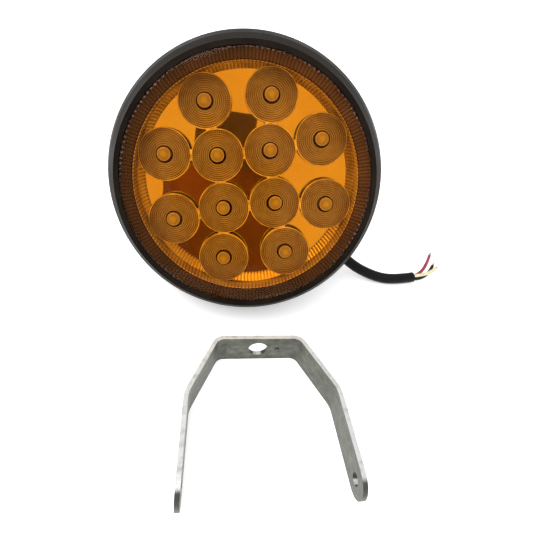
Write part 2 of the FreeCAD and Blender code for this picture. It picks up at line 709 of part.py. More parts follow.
def make_gland():
    outward = Vector(-1, 0, 0)
    wall = "box_width / 2"
    thread = rod("gland_thread", "gland_thread_radius", "gland_thread_length + box_wall",
                 f"-({wall} - box_wall - gland_thread_length)", "-gland_drop", GLAND_DEPTH, outward)
    flange = rod("gland_flange", "gland_flange_radius", "gland_flange", f"-{wall}", "-gland_drop",
                 GLAND_DEPTH, outward)
    bore_length = "gland_thread_length + box_wall + gland_flange + 2"
    bore = rod("gland_bore", "lead_diameter / 2", bore_length,
               f"-({wall} - box_wall - gland_thread_length - 1)", "-gland_drop", GLAND_DEPTH, outward)
    body = cut("cable_gland", joined("gland_solid", [thread, flange]), [bore])
    finish(body, "cable_gland", lamp_placement())
    dome = doc.addObject("Part::Cone", "gland_nut_dome")
    bind(dome, Radius1="gland_nut_radius", Radius2="gland_nut_radius - 1.6", Height="gland_nut_length")
    nut_x = -size(f"{wall} + gland_flange")
    dome.Placement = Placement(Vector(nut_x, -size("gland_drop"), size(GLAND_DEPTH)),
                               Rotation(Vector(0, 0, 1), outward))
    nut_bore = rod("gland_nut_bore", "lead_diameter / 2", "gland_nut_length + 2",
                   f"-({wall} + gland_flange - 1)", "-gland_drop", GLAND_DEPTH, outward)
    finish(cut("gland_nut", dome, [nut_bore]), "gland_nut", lamp_placement())


def make_lead():
    jacket = doc.addObject("Part::Feature", "lead_jacket")
    jacket.Shape = tube(LEAD_ROUTE, size("lead_diameter"), "lead_jacket")
    finish(jacket, "lead_jacket", Placement(), on_cord=True)
    tips = []
    for name, route in CORE_ROUTES.items():
        core = doc.addObject("Part::Feature", name)
        core.Shape = tube(route, size("core_diameter"), name)
        finish(core, name, Placement(), on_cord=True)
        end = Vector(*route[-1])
        direction = (end - Vector(*route[-2])).normalize()
        tip = doc.addObject("Part::Cylinder", "tip_of_" + name)
        bind(tip, Radius="tip_diameter / 2", Height="tip_length")
        tip.Placement = Placement(end, Rotation(Vector(0, 0, 1), direction))
        tips.append(tip)
    finish(grouped("conductor_tips", tips), "conductor_tips", Placement(), on_cord=True)


# Bracket

DIAGONAL_X = "diagonal_length * cos(diagonal_angle * 1 deg)"
DIAGONAL_Y = "diagonal_length * sin(diagonal_angle * 1 deg)"
LEG_X = "leg_length * cos(leg_angle * 1 deg)"
LEG_Y = "leg_length * sin(leg_angle * 1 deg)"
HOLE_Y = f"{DIAGONAL_Y} + (leg_length - strap_width / 2) * sin(leg_angle * 1 deg)"


def make_bracket():
    """Half of the bent strap, mirrored; Y runs from the top plate to the leg ends."""
    plate_set = "strap_thickness * tan(diagonal_angle / 2 * 1 deg)"
    knee_angle = "((diagonal_angle + leg_angle) / 2 * 1 deg)"
    knee_set = "(strap_thickness / cos((leg_angle - diagonal_angle) / 2 * 1 deg))"
    body = doc.addObject("PartDesign::Body", "strap_blank")
    sketch = body.newObject("Sketcher::SketchObject", "strap_profile")
    attach(sketch, body, "XY_Plane")
    draw_outline(sketch, [
        ("0", "0"),
        ("plate_width / 2", "0"),
        (f"plate_width / 2 + {DIAGONAL_X}", DIAGONAL_Y),
        (f"plate_width / 2 + {DIAGONAL_X} + {LEG_X}", f"{DIAGONAL_Y} + {LEG_Y}"),
        (f"plate_width / 2 + {DIAGONAL_X} + {LEG_X} - strap_thickness * sin(leg_angle * 1 deg)",
         f"{DIAGONAL_Y} + {LEG_Y} + strap_thickness * cos(leg_angle * 1 deg)"),
        (f"plate_width / 2 + {DIAGONAL_X} - {knee_set} * sin({knee_angle})",
         f"{DIAGONAL_Y} + {knee_set} * cos({knee_angle})"),
        (f"plate_width / 2 - {plate_set}", "strap_thickness"),
        ("0", "strap_thickness"),
    ])
    pad = body.newObject("PartDesign::Pad", "strap_pad")
    pad.Profile = sketch
    pad.SideType = "Symmetric"
    bind(pad, Length="strap_width")
    doc.recompute()
    mirror = body.newObject("PartDesign::Mirrored", "strap_mirror")
    mirror.Originals = [pad]
    mirror.MirrorPlane = (sketch, ["V_Axis"])
    body.Tip = mirror
    doc.recompute()
    round_bends(body, mirror)
    blank = round_ends(body)

    reach = "plate_width + 2 * diagonal_length"
    leg_hole = rod("leg_hole", "leg_hole_radius", f"2 * ({reach})", f"-({reach})", HOLE_Y, "0",
                   Vector(1, 0, 0))
    plate_hole = rod("plate_hole", "plate_hole_radius", "strap_thickness + 2", "0", "-1", "0",
                     Vector(0, 1, 0))
    dimple = rod("dimple", "dimple_radius", "dimple_depth + 1", "-dimple_offset",
                 "strap_thickness - dimple_depth", "0", Vector(0, 1, 0))
    strap = cut("bracket_strap", blank, [leg_hole, plate_hole, dimple])
    turn = 180 + size("bracket_turn")
    place = Vector(size("bracket_x"), size("bracket_y"), size("strap_width / 2"))
    finish(strap, "bracket_strap", Placement(place, Rotation(Vector(0, 0, 1), turn)))


def round_bends(body, base):
    """Rounds the bends at the plate and at the knees, the outside by one thickness more than the inside."""
    bends = [
        ("plate", size("plate_width / 2"), 0.0, "bend_radius"),
        ("knee", size(f"plate_width / 2 + {DIAGONAL_X}"), size(DIAGONAL_Y), "knee_radius"),
    ]
    for name, x, y, radius in bends:
        base = round_edges(body, base, f"{name}_inside", (x, y), (0.1, 2 * size("strap_thickness")), radius)
        base = round_edges(body, base, f"{name}_outside", (x, y), (0.0, 0.1), f"{radius} + strap_thickness")


def round_edges(body, base, name, place, distances, radius):
    """Rounds the upright edges that stand between two distances from a place, on both sides of the middle."""
    edges = []
    for number in upright_edges(base.Shape):
        point = base.Shape.Edges[number - 1].Vertexes[0].Point
        if distances[0] <= math.hypot(abs(point.x) - place[0], point.y - place[1]) < distances[1]:
            edges.append(f"Edge{number}")
    fillet = body.newObject("PartDesign::Fillet", name)
    fillet.Base = (base, edges)
    bind(fillet, Radius=radius)
    doc.recompute()
    return fillet


def round_ends(body):
    """Leaves of the strap what lies inside its width and half circles about the leg holes."""
    reach = "plate_width + 2 * diagonal_length"
    inside = block("strap_inside", f"2 * ({reach})", f"{HOLE_Y} + 1", "strap_width + 2", "0",
                   f"({HOLE_Y} - 1) / 2", "-strap_width / 2 - 1")
    end = rod("strap_end", "strap_width / 2", f"2 * ({reach})", f"-({reach})", HOLE_Y, "0",
              Vector(1, 0, 0))
    rounded = doc.addObject("Part::Common", "strap_rounded")
    rounded.Base = body
    rounded.Tool = joined("strap_limits", [inside, end])
    return rounded


def check_document():
    """Stops when any object failed or any sub-part has no valid solid."""
    doc.recompute()
    for thing in doc.Objects:
        if "Invalid" in thing.State or "Error" in thing.State:
            raise ValueError(f"{thing.Name} failed: {thing.State}")
    for thing in collected:
        shape = thing.Shape
        if shape.isNull() or not shape.isValid() or not shape.Solids:
            raise ValueError(f"{thing.Label} has no valid solid")


def print_middle():
    """Prints the box of the part without its lead, whose middle is the frame's origin."""
    box = FreeCAD.BoundBox()
    for thing in collected:
        if thing not in cord_collected:
            box.add(thing.Shape.optimalBoundingBox(False))
    lamp = lamp_placement()
    gland_end = -size("box_width / 2 + gland_flange + gland_nut_length")
    exit_point = lamp.multVec(Vector(gland_end, -size("gland_drop"), size(GLAND_DEPTH)))
    print("gland exit", exit_point, "lean", math.degrees(lean_angle()))
    print("box without the lead", [round(value, 3) for value in (
        box.XMin, box.XMax, box.YMin, box.YMax, box.ZMin, box.ZMax)])


def write_parts():
    os.makedirs("parts", exist_ok=True)
    for thing in collected:
        thing.Shape.exportStep(f"parts/{thing.Label}.step")
    print(len(collected), "nodes written")


make_front_lens()
make_bezel_ring()
make_fluted_ring()
make_optics_holder()
make_collimators_and_leds()
make_led_board_and_spreader()
make_housing()
make_driver_box()
make_rear_cover()
make_driver_electronics()
make_pivots()
make_gland()
make_lead()
make_bracket()
check_document()
print_middle()
write_parts()
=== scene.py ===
import itertools
import json
import math

import bmesh
import bpy
import numpy as np
from mathutils import Matrix, Vector


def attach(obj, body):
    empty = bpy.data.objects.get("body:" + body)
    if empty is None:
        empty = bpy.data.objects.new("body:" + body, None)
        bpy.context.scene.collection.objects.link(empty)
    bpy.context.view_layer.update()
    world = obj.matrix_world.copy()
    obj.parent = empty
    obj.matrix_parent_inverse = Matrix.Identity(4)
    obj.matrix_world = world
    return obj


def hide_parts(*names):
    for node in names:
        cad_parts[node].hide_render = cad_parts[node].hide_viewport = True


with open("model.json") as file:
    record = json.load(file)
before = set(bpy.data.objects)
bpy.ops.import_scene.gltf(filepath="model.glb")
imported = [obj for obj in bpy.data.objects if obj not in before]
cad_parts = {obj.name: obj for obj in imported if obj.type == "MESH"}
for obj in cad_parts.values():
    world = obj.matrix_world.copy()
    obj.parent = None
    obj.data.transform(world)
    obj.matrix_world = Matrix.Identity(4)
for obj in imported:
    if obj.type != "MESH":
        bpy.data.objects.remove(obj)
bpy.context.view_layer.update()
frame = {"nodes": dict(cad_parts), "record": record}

MM = 0.001

# Camera, in metres and degrees
CAMERA_PLACE = (-0.00265, -0.15713, 0.19048)
CAMERA_HEADING = 6.39       # turned to the right of straight ahead
CAMERA_PITCH = 44.3         # looking down
CAMERA_ROLL = 9.85          # its right side up
CAMERA_FOCAL_MM = 31.11
SENSOR_MM = 36.0
NEAREST_SEEN = 0.01

# Light
WORLD_STRENGTH = 1.05
SUN_STRENGTH = 2.5
FLOOR_GLOW = 0.35
SUN_SPREAD = 55.0           # degrees across
SUN_FROM = (-0.35, -0.25, 1.0)
FLOOR_REACH = 6.0

# Plain cards near the camera, hidden from it, that only the bright parts mirror: the low and the high
# corner across and up the lamp, the colour, and how far behind the camera, in metres
FLAGS = {
    "flag_dark": ((-0.050, -0.015), (0.007, 0.038), (0.075, 0.065, 0.22), 0.004),
    "flag_warm": ((-0.078, -0.062), (-0.012, 0.000), (0.19, 0.085, 0.13), 0.006),
    "flag_low": ((-0.062, -0.125), (0.034, -0.004), (0.11, 0.05, 0.06), 0.008),
}

# Counts, and sizes in millimetres, of the pieces that are finished here
LENS_SEGMENTS = 256
LENS_RIBS = 216
RIB_SEGMENTS = 4            # steps round the ring for each rib
RIB_HEIGHT = 0.20
RIB_SCALLOP = 0.30          # how far a rib's inner end is cut back
RIM_GLINTS = 150            # bright dashes round the lens's rim
RIM_GLINT_RADIUS = 56.2
WALL_FLUTES = 190
FLUTE_SEGMENTS = 6
FLUTE_HEIGHT = 0.30
WALL_GAP = 0.05             # below the ribbed margin
WALL_INSET = 0.35           # the wall's top stands in from the bezel
WALL_THICKNESS = 0.6
WALL_TAPER = 2.1            # how far the wall's foot stands in from its ring's outside
OPTIC_SEGMENTS = 144
OPTIC_SPOKES = 72
SPOKES_FROM = 6.0
SPOKES_TO = 11.0
# Where the raised edge of an optic's face is painted with a highlight, from its axis
LIP_HIGHLIGHT_FROM = 11.7
LIP_HIGHLIGHT_TO = 11.9
OPTIC_FLANGE = 1.2
CUP_STEPS = 12              # points down the cup under the flange
CUP_FOOT = 0.36             # its foot's radius, as a share of the optic's
GROOVE_START = 4.4          # the first groove's distance from the optic's axis
GROOVE_PITCH = 0.95
GROOVE_DEPTH = 0.22
WELL_RADIUS = 3.9
WELL_DEPTH = 2.4
BOSS_RADIUS = 3.2
BOSS_RISE = 0.7
BOSS_DOME = 0.25
BOSS_SHIFT = 0.32
BOSS_STEPS = 6              # points on the boss's dome, past its middle one
BOSSES_LEAN_FROM = (0.003, -0.015)  # a place across and up the lamp, in metres
WEB_LENGTH = 5.2
WEB_WIDTH = 1.1
WEB_HEIGHT = 0.6
WEB_EDGE = 0.15

# The lead: the same points as the solid's route, in metres
LEAD_POINTS = [
    (0.0370, 0.0514, 0.0214),
    (0.0452, 0.0504, 0.0194),
    (0.0551, 0.0473, 0.0148),
    (0.0655, 0.0407, 0.0071),
    (0.0813, 0.0361, 0.0031),
    (0.0930, 0.0356, 0.0031),
    (0.1043, 0.0391, 0.0031),
]
LEAD_DIAMETER = 0.006

NODES = frame["nodes"]
SLOT_OF = {entry["node"]: entry["material_slot"] for entry in frame["record"]["subparts"]}


# ---- Node graphs -----------------------------------------------------------------------------

# Sockets of a colour mix
MIX_FACTOR = 0
MIX_FIRST = 6
MIX_SECOND = 7
MIX_RESULT = 2


class Surface:
    """A material with a Principled shader and short calls to add nodes round it."""

    def __init__(self, name, color, roughness, metallic=0.0, **sockets):
        self.material = bpy.data.materials.new(name)
        self.material.use_nodes = True
        self.tree = self.material.node_tree
        self.shader = self.tree.nodes["Principled BSDF"]
        self.set(self.shader, "Base Color", color)
        self.set(self.shader, "Roughness", roughness)
        self.set(self.shader, "Metallic", metallic)
        for socket, value in sockets.items():
            self.set(self.shader, socket.replace("_", " "), value)
        self.coordinates = None

    def set(self, node, socket, value):
        """Gives a socket a number, a colour or another node's output."""
        if isinstance(value, bpy.types.NodeSocket):
            self.tree.links.new(value, node.inputs[socket])
        elif isinstance(value, tuple) and len(value) == 3 and node.inputs[socket].type == "RGBA":
            node.inputs[socket].default_value = (*value, 1.0)
        else:
            node.inputs[socket].default_value = value

    def add(self, kind, settings=None, **inputs):
        """A new node, with its settings and its sockets."""
        node = self.tree.nodes.new(kind)
        for key, value in (settings or {}).items():
            setattr(node, key, value)
        for socket, value in inputs.items():
            self.set(node, socket.replace("_", " "), value)
        return node

    def place(self):
        """Object coordinates: metres in the frame, or in a piece's own frame."""
        if self.coordinates is None:
            self.coordinates = self.add("ShaderNodeTexCoord").outputs["Object"]
        return self.coordinates

    def polar(self, middle=0.0):
        """Distance from an axis of the piece, in metres, and the angle about it."""
        moved = self.add("ShaderNodeMapping", Vector=self.place(), Location=(-middle, 0.0, 0.0))
        place = self.add("ShaderNodeSeparateXYZ", Vector=moved.outputs["Vector"])
        across, along = place.outputs["X"], place.outputs["Y"]
        squares = self.math("ADD", self.math("MULTIPLY", across, across),
                            self.math("MULTIPLY", along, along))
        return self.math("SQRT", squares), self.math("ARCTAN2", along, across)

    def stripes(self, value, count, low=-0.2, high=0.6):
        """0 to 1 and back, count times in 2 pi of the value."""
        return self.spread(self.math("COSINE", self.math("MULTIPLY", value, float(count))), low, high)

    def noise(self, scale, detail=4.0, roughness=0.55, stretch=None, distortion=0.0):
        """Noise with features about 1/scale metres wide."""
        place = self.place()
        if stretch:
            place = self.add("ShaderNodeMapping", Vector=place, Scale=stretch).outputs["Vector"]
        return self.add("ShaderNodeTexNoise", Vector=place, Scale=scale, Detail=detail,
                        Roughness=roughness, Distortion=distortion).outputs["Fac"]

    def cells(self, scale, distance="EUCLIDEAN"):
        """Distance from the middles of cells about 1/scale metres wide."""
        return self.add("ShaderNodeTexVoronoi", {"distance": distance}, Vector=self.place(),
                        Scale=scale).outputs["Distance"]

    def ramp(self, factor, stops):
        """A colour ramp; stops are (position, colour)."""
        node = self.add("ShaderNodeValToRGB", Fac=factor)
        elements = node.color_ramp.elements
        while len(elements) < len(stops):
            elements.new(0.5)
        for element, (position, value) in zip(elements, stops):
            element.position = position
            element.color = (*value, 1.0)
        return node.outputs["Color"]

    def math(self, operation, first, second=0.0):
        """A sum, product or function of one or two numbers."""
        node = self.add("ShaderNodeMath", {"operation": operation})
        for index, value in enumerate((first, second)):
            self.set(node, index, value)
        return node.outputs[0]

    def spread(self, value, low, high, new_low=0.0, new_high=1.0):
        """Maps a range of values to another, clamped."""
        node = self.add("ShaderNodeMapRange", Value=value)
        for socket, number in (("From Min", low), ("From Max", high), ("To Min", new_low),
                               ("To Max", new_high)):
            node.inputs[socket].default_value = number
        return node.outputs["Result"]

    def mix(self, factor, first, second):
        """A mix of two colours."""
        node = self.add("ShaderNodeMix", {"data_type": "RGBA"})
        self.set(node, MIX_FACTOR, factor)
        self.set(node, MIX_FIRST, first)
        self.set(node, MIX_SECOND, second)
        return node.outputs[MIX_RESULT]

    def blend(self, factor, first, second):
        """A mix of two shaders."""
        node = self.add("ShaderNodeMixShader")
        for index, value in enumerate((factor, first, second)):
            self.set(node, index, value)
        return node.outputs["Shader"]

    def bump(self, height, strength, distance, under=None):
        """A bump normal; distance in metres."""
        node = self.add("ShaderNodeBump", Height=height, Strength=strength, Distance=distance)
        if under is not None:
            self.set(node, "Normal", under)
        return node.outputs["Normal"]

    def finish(self, **sockets):
        """Sets the shader's last sockets and gives the material."""
        for socket, value in sockets.items():
            self.set(self.shader, socket.replace("_", " "), value)
        return self.material


# ---- Materials -------------------------------------------------------------------------------

def black_coat(name, base, roughness, grain):
    """Sprayed or moulded black with a fine grain, dust and rubbed patches."""
    s = Surface(name, base, roughness, Specular_IOR_Level=0.03)
    patches = s.noise(55.0, 5.0)
    dust = s.noise(900.0, 2.0)
    lighter = tuple(channel * 1.7 + 0.002 for channel in base)
    color = s.mix(s.spread(patches, 0.38, 0.66), base, lighter)
    color = s.mix(s.spread(dust, 0.66, 0.82, 0.0, 0.10), color, (0.12, 0.11, 0.10))
    rough = s.spread(patches, 0.3, 0.7, roughness - 0.07, roughness + 0.10)
    fine = s.bump(s.noise(grain, 3.0), 0.35, 0.00012)
    return s.finish(Base_Color=color, Roughness=rough, Normal=s.bump(patches, 0.12, 0.0006, fine))


def make_bezel_coat():
    """The bezel's brownish black."""
    return black_coat("black_bezel", (0.0062, 0.0042, 0.0027), 0.50, 2600.0)


def make_casting():
    """The housing's and the box's coarser black."""
    return black_coat("black_casting", (0.009, 0.009, 0.008), 0.55, 1500.0)


def make_rubber():
    """Matt black rubber."""
    s = Surface("black_rubber", (0.02, 0.02, 0.02), 0.75)
    cloud = s.noise(300.0)
    color = s.ramp(cloud, [(0.3, (0.012, 0.012, 0.012)), (0.7, (0.035, 0.034, 0.032))])
    return s.finish(Base_Color=color, Normal=s.bump(s.noise(2200.0), 0.3, 0.0001))


def make_maroon():
    """The ribbed margin: dark plastic, bluish so that it looks brown under the amber lens,
    with painted shade between its ribs, and paler toward one side as a painted reflection."""
    s = Surface("maroon_trim", (0.10, 0.07, 0.07), 0.45, Specular_IOR_Level=0.12)
    _, angle = s.polar()
    cloud = s.noise(60.0, 4.0)
    place = s.add("ShaderNodeSeparateXYZ", Vector=s.place())
    # Painted reflection: the ring is painted paler toward one side of the lamp, by position
    painted_sheen = s.spread(s.math("ADD", place.outputs["X"], place.outputs["Y"]), -0.010, 0.075)
    low = s.ramp(cloud, [(0.35, (0.045, 0.040, 0.11)), (0.65, (0.070, 0.060, 0.17))])
    high = s.ramp(cloud, [(0.35, (0.10, 0.09, 0.30)), (0.65, (0.15, 0.14, 0.46))])
    color = s.mix(painted_sheen, low, high)
    # Painted shade: dark stripes in the valleys between the ribs
    rib_valley_shade = s.stripes(angle, LENS_RIBS)
    color = s.mix(s.math("MULTIPLY", rib_valley_shade, 0.55), color, (0.012, 0.009, 0.014))
    rough = s.spread(cloud, 0.3, 0.7, 0.38, 0.55)
    return s.finish(Base_Color=color, Roughness=rough, Normal=s.bump(cloud, 0.2, 0.0003))


def make_mirror():
    """Vacuum-metallised plastic: bright, with a faint waviness and haze."""
    s = Surface("mirror_plate", (0.93, 0.91, 0.88), 0.05, 1.0)
    haze = s.noise(140.0, 4.0)
    color = s.ramp(haze, [(0.3, (0.88, 0.87, 0.40)), (0.7, (0.93, 0.93, 0.50))])
    rough = s.spread(haze, 0.3, 0.7, 0.010, 0.035)
    wavy = s.bump(s.noise(60.0, 2.0), 0.05, 0.0004)
    return s.finish(Base_Color=color, Roughness=rough, Normal=wavy)


def make_wall_chrome():
    """The metallised flutes: bright ridges, with painted shade darkening the grooves between them."""
    s = Surface("fluted_chrome", (0.90, 0.88, 0.84), 0.22, 0.35)
    _, angle = s.polar()
    haze = s.noise(120.0, 4.0)
    color = s.ramp(haze, [(0.3, (0.66, 0.64, 0.50)), (0.7, (0.96, 0.95, 0.86))])
    # Painted shade: dark stripes in the grooves between the flutes
    flute_valley_shade = s.math("MULTIPLY", s.stripes(angle, WALL_FLUTES, 0.0, 0.8),
                     s.spread(s.noise(45.0, 3.0), 0.35, 0.6, 0.30, 0.85))
    color = s.mix(flute_valley_shade, color, (0.46, 0.26, 0.16))
    return s.finish(Base_Color=color, Roughness=s.spread(haze, 0.3, 0.7, 0.10, 0.26),
                    Normal=s.bump(s.noise(900.0), 0.15, 0.0001))


def make_optic():
    """A moulded optic: stepped rings with painted shade in their grooves, fine spokes, a painted highlight
    on its raised edge and painted shade in the gap round the boss.
    """
    s = Surface("clear_optic", (0.36, 0.33, 0.30), 0.24, Coat_Weight=0.5, Coat_Roughness=0.10)
    reach, angle = s.polar()
    cloud = s.noise(150.0, 3.0)
    body = s.ramp(cloud, [(0.30, (0.21, 0.25, 0.52)), (0.72, (0.37, 0.42, 0.74))])
    turns = s.math("MULTIPLY", s.math("SUBTRACT", reach, GROOVE_START * MM),
                   2.0 * math.pi / (GROOVE_PITCH * MM))
    ring_shade = s.math("MULTIPLY", s.stripes(turns, 1.0, 0.3, -0.7),
                        s.spread(s.noise(110.0, 2.0), 0.36, 0.56, 0.50, 1.0))
    body = s.mix(ring_shade, body, (0.12, 0.09, 0.08))
    spoke_shade = s.math("MULTIPLY", s.stripes(angle, OPTIC_SPOKES, 0.0, 0.8),
                         s.math("MULTIPLY", s.spread(reach, SPOKES_FROM * MM, SPOKES_TO * MM),
                                s.spread(s.noise(100.0, 2.0), 0.40, 0.58, 0.25, 0.95)))
    body = s.mix(spoke_shade, body, (0.13, 0.08, 0.06))
    # Painted highlight along the raised edge of the face
    lip_highlight = s.math("MULTIPLY", s.spread(reach, LIP_HIGHLIGHT_FROM * MM, LIP_HIGHLIGHT_TO * MM),
                 s.spread(s.noise(130.0, 2.0), 0.42, 0.58, 0.35, 1.0))
    body = s.mix(lip_highlight, body, (0.95, 0.98, 0.95))
    boss_reach, _ = s.polar(-BOSS_SHIFT * MM)
    boss = s.ramp(s.spread(boss_reach, 0.0, BOSS_RADIUS * MM), [
        (0.0, (0.52, 0.60, 0.25)), (0.42, (0.46, 0.50, 0.30)), (0.55, (0.34, 0.36, 0.50)),
        (0.84, (0.38, 0.40, 0.60)), (0.95, (0.66, 0.70, 0.90))])
    boss = s.mix(s.spread(s.noise(500.0), 0.45, 0.65, 0.0, 0.4), boss, (0.28, 0.28, 0.25))
    # Painted shade: past the boss's edge, the well round it is painted near black
    middle = s.mix(s.spread(boss_reach, (BOSS_RADIUS - 0.06) * MM, (BOSS_RADIUS + 0.02) * MM), boss,
                   (0.018, 0.012, 0.008))
    color = s.mix(s.spread(reach, (WELL_RADIUS - 0.02) * MM, (WELL_RADIUS + 0.10) * MM), middle, body)
    return s.finish(Base_Color=color, Normal=s.bump(cloud, 0.2, 0.00012))


def make_web():
    """The bars between the optics: clear plastic, with painted highlights in places."""
    s = Surface("optic_web", (0.80, 0.80, 0.75), 0.20, Coat_Weight=0.6, Coat_Roughness=0.08)
    cloud = s.noise(420.0, 3.0)
    # Painted highlights: bright patches on the bars
    color = s.ramp(cloud, [(0.40, (0.45, 0.42, 0.40)), (0.58, (0.98, 1.0, 1.0))])
    return s.finish(Base_Color=color, Normal=s.bump(cloud, 0.3, 0.0002))


def make_amber_lens():
    """Amber sheet: it tints what is behind it, mirrors a little, and has a dotted glint near its rim."""
    s = Surface("amber_lens", (0.34, 0.19, 0.20), 0.35)
    reach, angle = s.polar()
    cloud = s.noise(35.0, 3.0)
    tint = s.ramp(cloud, [(0.3, (0.945, 0.705, 0.320)), (0.7, (0.960, 0.735, 0.360))])
    clear = s.add("ShaderNodeBsdfTransparent", Color=tint)
    gloss = s.add("ShaderNodeBsdfGlossy", Color=(1.0, 1.0, 1.0), Roughness=0.03)
    fresnel = s.add("ShaderNodeFresnel", IOR=1.16)
    shine = s.blend(fresnel.outputs["Fac"], clear.outputs["BSDF"], gloss.outputs["BSDF"])
    patch = s.spread(s.noise(22.0, 3.0), 0.40, 0.62)
    tone = s.ramp(patch, [(0.0, (0.070, 0.034, 0.026)), (1.0, (0.17, 0.105, 0.12))])
    stripe = s.math("MULTIPLY", s.stripes(angle, LENS_RIBS), 0.6)
    s.set(s.shader, "Base Color", s.mix(stripe, tone, (0.07, 0.030, 0.025)))
    from_rim = s.math("ABSOLUTE", s.math("SUBTRACT", reach, RIM_GLINT_RADIUS * MM))
    dashes = s.math("MULTIPLY", s.stripes(angle, RIM_GLINTS, 0.2, 0.7), patch)
    glint = s.math("MULTIPLY", s.math("MULTIPLY", s.spread(from_rim, 0.0004, 0.0002), dashes), 0.7)
    surface = s.blend(glint, shine, s.shader.outputs["BSDF"])
    s.tree.links.new(surface, s.tree.nodes["Material Output"].inputs["Surface"])
    return s.material


def make_galvanised():
    """Hot-dipped zinc: dull mottled faces with stains and pits, level edges painted bright as a highlight,
    and a painted shade line where the two meet."""
    s = Surface("galvanised_steel", (0.30, 0.31, 0.28), 0.45, 0.55)
    spangle = s.cells(260.0)
    cloud = s.noise(130.0, 7.0, 0.68, distortion=0.5)
    streak = s.noise(90.0, 5.0, 0.6, stretch=(1.0, 1.0, 4.0))
    pits = s.noise(520.0, 3.0)
    color = s.ramp(cloud, [(0.34, (0.026, 0.028, 0.018)), (0.50, (0.052, 0.055, 0.038)),
                           (0.66, (0.13, 0.135, 0.105))])
    color = s.mix(s.spread(spangle, 0.0, 0.8, 0.0, 0.10), color, (0.42, 0.43, 0.42))
    color = s.mix(s.spread(streak, 0.52, 0.68, 0.0, 0.55), color, (0.04, 0.04, 0.028))
    color = s.mix(s.spread(pits, 0.66, 0.72, 0.0, 0.8), color, (0.03, 0.03, 0.025))
    # Painted light by the way a face points: a painted shade line on the rounded corners, and a painted
    # highlight on the level edge faces
    up = s.add("ShaderNodeSeparateXYZ", Vector=s.add("ShaderNodeTexCoord").outputs["Normal"])
    upward = s.math("ABSOLUTE", up.outputs["Z"])
    color = s.mix(s.spread(upward, 0.25, 0.45), color, (0.05, 0.05, 0.045))
    painted_edge_highlight = s.ramp(s.noise(300.0, 3.0), [(0.32, (0.36, 0.37, 0.36)), (0.52, (0.50, 0.51, 0.50))])
    color = s.mix(s.spread(upward, 0.86, 0.96), color, painted_edge_highlight)
    rough = s.spread(cloud, 0.3, 0.7, 0.32, 0.55)
    lumps = s.bump(s.math("ADD", cloud, s.math("MULTIPLY", pits, 0.6)), 0.55, 0.00035)
    return s.finish(Base_Color=color, Roughness=rough, Normal=lumps)


def steel(name, color, roughness):
    """Plated fastener steel."""
    s = Surface(name, color, roughness, 1.0)
    cloud = s.noise(350.0, 4.0)
    darker = tuple(channel * 0.6 for channel in color)
    return s.finish(Base_Color=s.ramp(cloud, [(0.3, darker), (0.65, color)]),
                    Roughness=s.spread(cloud, 0.3, 0.7, roughness - 0.08, roughness + 0.12),
                    Normal=s.bump(s.noise(1800.0), 0.2, 0.00008))


def plastic(name, color, roughness, grain=1800.0, shine=0.5):
    """Moulded or extruded plastic with a little unevenness."""
    s = Surface(name, color, roughness, Specular_IOR_Level=shine)
    cloud = s.noise(260.0, 3.0)
    darker = tuple(channel * 0.72 for channel in color)
    return s.finish(Base_Color=s.ramp(cloud, [(0.32, darker), (0.68, color)]),
                    Roughness=s.spread(cloud, 0.3, 0.7, roughness - 0.06, roughness + 0.10),
                    Normal=s.bump(s.noise(grain), 0.22, 0.00008))


def make_board(name, color, track):
    """A circuit board: solder mask over tracks."""
    s = Surface(name, color, 0.35)
    lines = s.spread(s.cells(320.0, "MANHATTAN"), 0.30, 0.34)
    return s.finish(Base_Color=s.mix(lines, color, track), Normal=s.bump(lines, 0.3, 0.00005))


MAKERS = {
    "amber_lens": make_amber_lens,
    "black_rubber": make_rubber,
    "black_bezel": make_bezel_coat,
    "maroon_trim": make_maroon,
    "mirror_plate": make_mirror,
    "clear_optic": make_optic,
    "led_yellow": lambda: plastic("led_yellow", (0.80, 0.66, 0.16), 0.30),
    "white_board": lambda: make_board("white_board", (0.80, 0.80, 0.78), (0.70, 0.70, 0.68)),
    "bare_aluminium": lambda: steel("bare_aluminium", (0.78, 0.79, 0.80), 0.35),
    "wire_sleeve": lambda: plastic("wire_sleeve", (0.55, 0.05, 0.04), 0.40),
    "black_casting": make_casting,
    "screw_steel": lambda: steel("screw_steel", (0.50, 0.50, 0.51), 0.32),
    "green_board": lambda: make_board("green_board", (0.03, 0.18, 0.08), (0.05, 0.27, 0.12)),
    "capacitor_sleeve": lambda: plastic("capacitor_sleeve", (0.05, 0.06, 0.12), 0.30),
    "ferrite": lambda: plastic("ferrite", (0.07, 0.07, 0.07), 0.60),
    "chip_plastic": lambda: plastic("chip_plastic", (0.03, 0.03, 0.03), 0.50),
    "terminal_plastic": lambda: plastic("terminal_plastic", (0.06, 0.26, 0.14), 0.40),
    "insert_brass": lambda: steel("insert_brass", (0.72, 0.56, 0.27), 0.30),
    "zinc_bolt": lambda: steel("zinc_bolt", (0.62, 0.63, 0.64), 0.30),
    "gland_plastic": lambda: plastic("gland_plastic", (0.010, 0.010, 0.010), 0.48, shine=0.12),
    "lead_sheath": lambda: plastic("lead_sheath", (0.0055, 0.0055, 0.0058), 0.36, 1200.0, 0.10),
    "red_core": lambda: plastic("red_core", (0.27, 0.040, 0.055), 0.38, shine=0.2),
    "white_core": lambda: plastic("white_core", (0.66, 0.62, 0.38), 0.40, shine=0.2),
    "black_core": lambda: plastic("black_core", (0.008, 0.008, 0.008), 0.38, shine=0.12),
    "bare_copper": lambda: steel("bare_copper", (0.42, 0.36, 0.32), 0.45),
    "galvanised_steel": make_galvanised,
}
made = {slot: make() for slot, make in MAKERS.items()}
made["wall_chrome"] = make_wall_chrome()
made["optic_web"] = make_web()


def paint(piece, slot):
    """Gives a CAD node its slot's material."""
    piece.data.materials.clear()
    piece.data.materials.append(made[slot])


# ---- The lamp's own frame, read from its lens ------------------------------------------------

